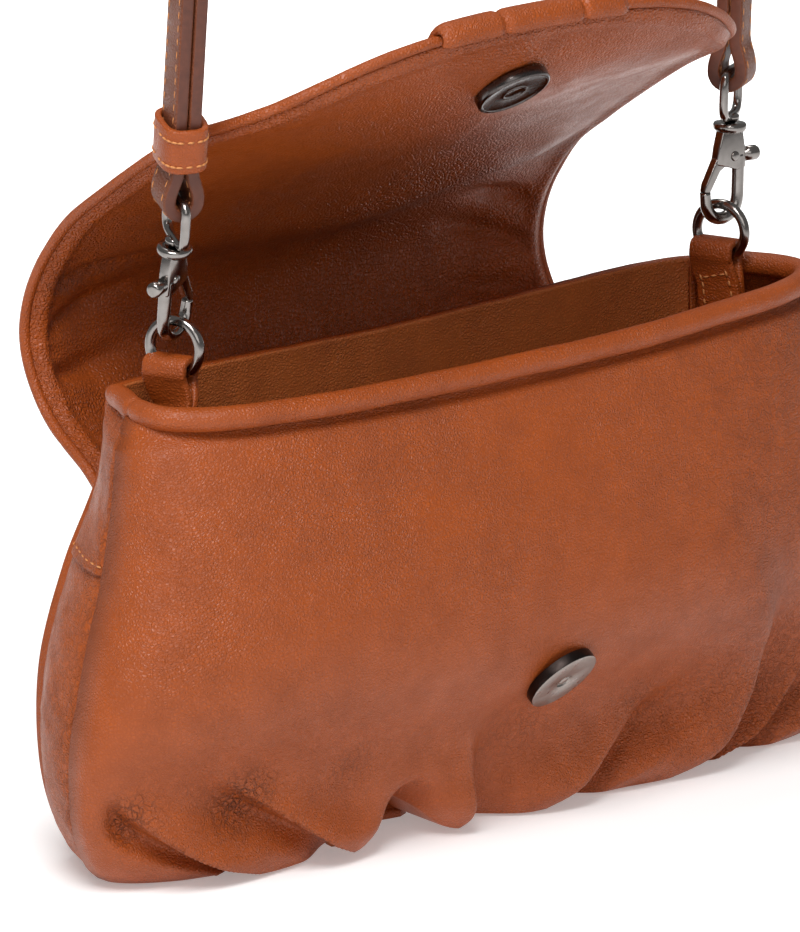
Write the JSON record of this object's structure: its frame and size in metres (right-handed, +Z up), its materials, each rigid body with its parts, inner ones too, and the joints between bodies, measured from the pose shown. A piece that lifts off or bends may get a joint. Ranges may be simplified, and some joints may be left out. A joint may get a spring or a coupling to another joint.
{
  "type": "crossbody bag",
  "caption": "Small tan leather crossbody bag standing open, with a gathered front, a rolled rim, a magnetic snap and a thin strap on swivel hooks.",
  "frame": {"origin": "on the underside of the flat base, below the middle of the mouth", "axes": "+Z up, +X to the right along the bag's width, +Y to the back, where the flap is sewn"},
  "size_m": [0.2432, 0.1043, 0.6456],
  "materials": {
    "leather": "soft pebbled tan leather, satin",
    "strap_leather": "pebbled tan leather with painted brown edges",
    "nickel": "satin nickel",
    "black_nickel": "polished black nickel"
  },
  "bodies": {
    "bag": {"front_panel": "leather", "back_panel": "leather", "left_gusset_top": "leather", "left_gusset": "leather", "right_gusset_top": "leather", "right_gusset": "leather", "base": "leather", "rim_roll": "leather", "flap": "leather", "flap_piping": "leather", "flap_band": "leather", "front_snap": "nickel", "flap_snap": "black_nickel", "left_tab": "leather", "right_tab": "leather", "left_ring": "black_nickel", "right_ring": "black_nickel", "left_eye": "black_nickel", "right_eye": "black_nickel", "strap": "strap_leather", "strap_keeper": "leather"},
    "left_hook_body": {"left_hook": "black_nickel"},
    "left_trigger_body": {"left_trigger": "black_nickel"},
    "right_hook_body": {"right_hook": "black_nickel"},
    "right_trigger_body": {"right_trigger": "black_nickel"}
  },
  "joints": [
    {"name": "left_swivel", "type": "hinge", "parent": "bag", "child": "left_hook_body", "pos_m": [-0.085, 0.0098, 0.1416], "axis": [-0.103, -0.2128, 0.9717], "range_deg": [-12, 12]},
    {"name": "left_trigger", "type": "hinge", "parent": "left_hook_body", "child": "left_trigger_body", "pos_m": [-0.08511, 0.01086, 0.13544], "axis": [-0.3506, 0.9219, 0.1647], "range_deg": [0, 12], "stiffness_Nm_per_rad": 0.02, "springref_deg": -5.73},
    {"name": "right_swivel", "type": "hinge", "parent": "bag", "child": "right_hook_body", "pos_m": [0.0889, 0.017, 0.1439], "axis": [0.04, 0, 0.9992], "range_deg": [-12, 12]},
    {"name": "right_trigger", "type": "hinge", "parent": "right_hook_body", "child": "right_trigger_body", "pos_m": [0.08945, 0.017, 0.13767], "axis": [0, -1, 0], "range_deg": [0, 12], "stiffness_Nm_per_rad": 0.02, "springref_deg": -5.73}
  ]
}
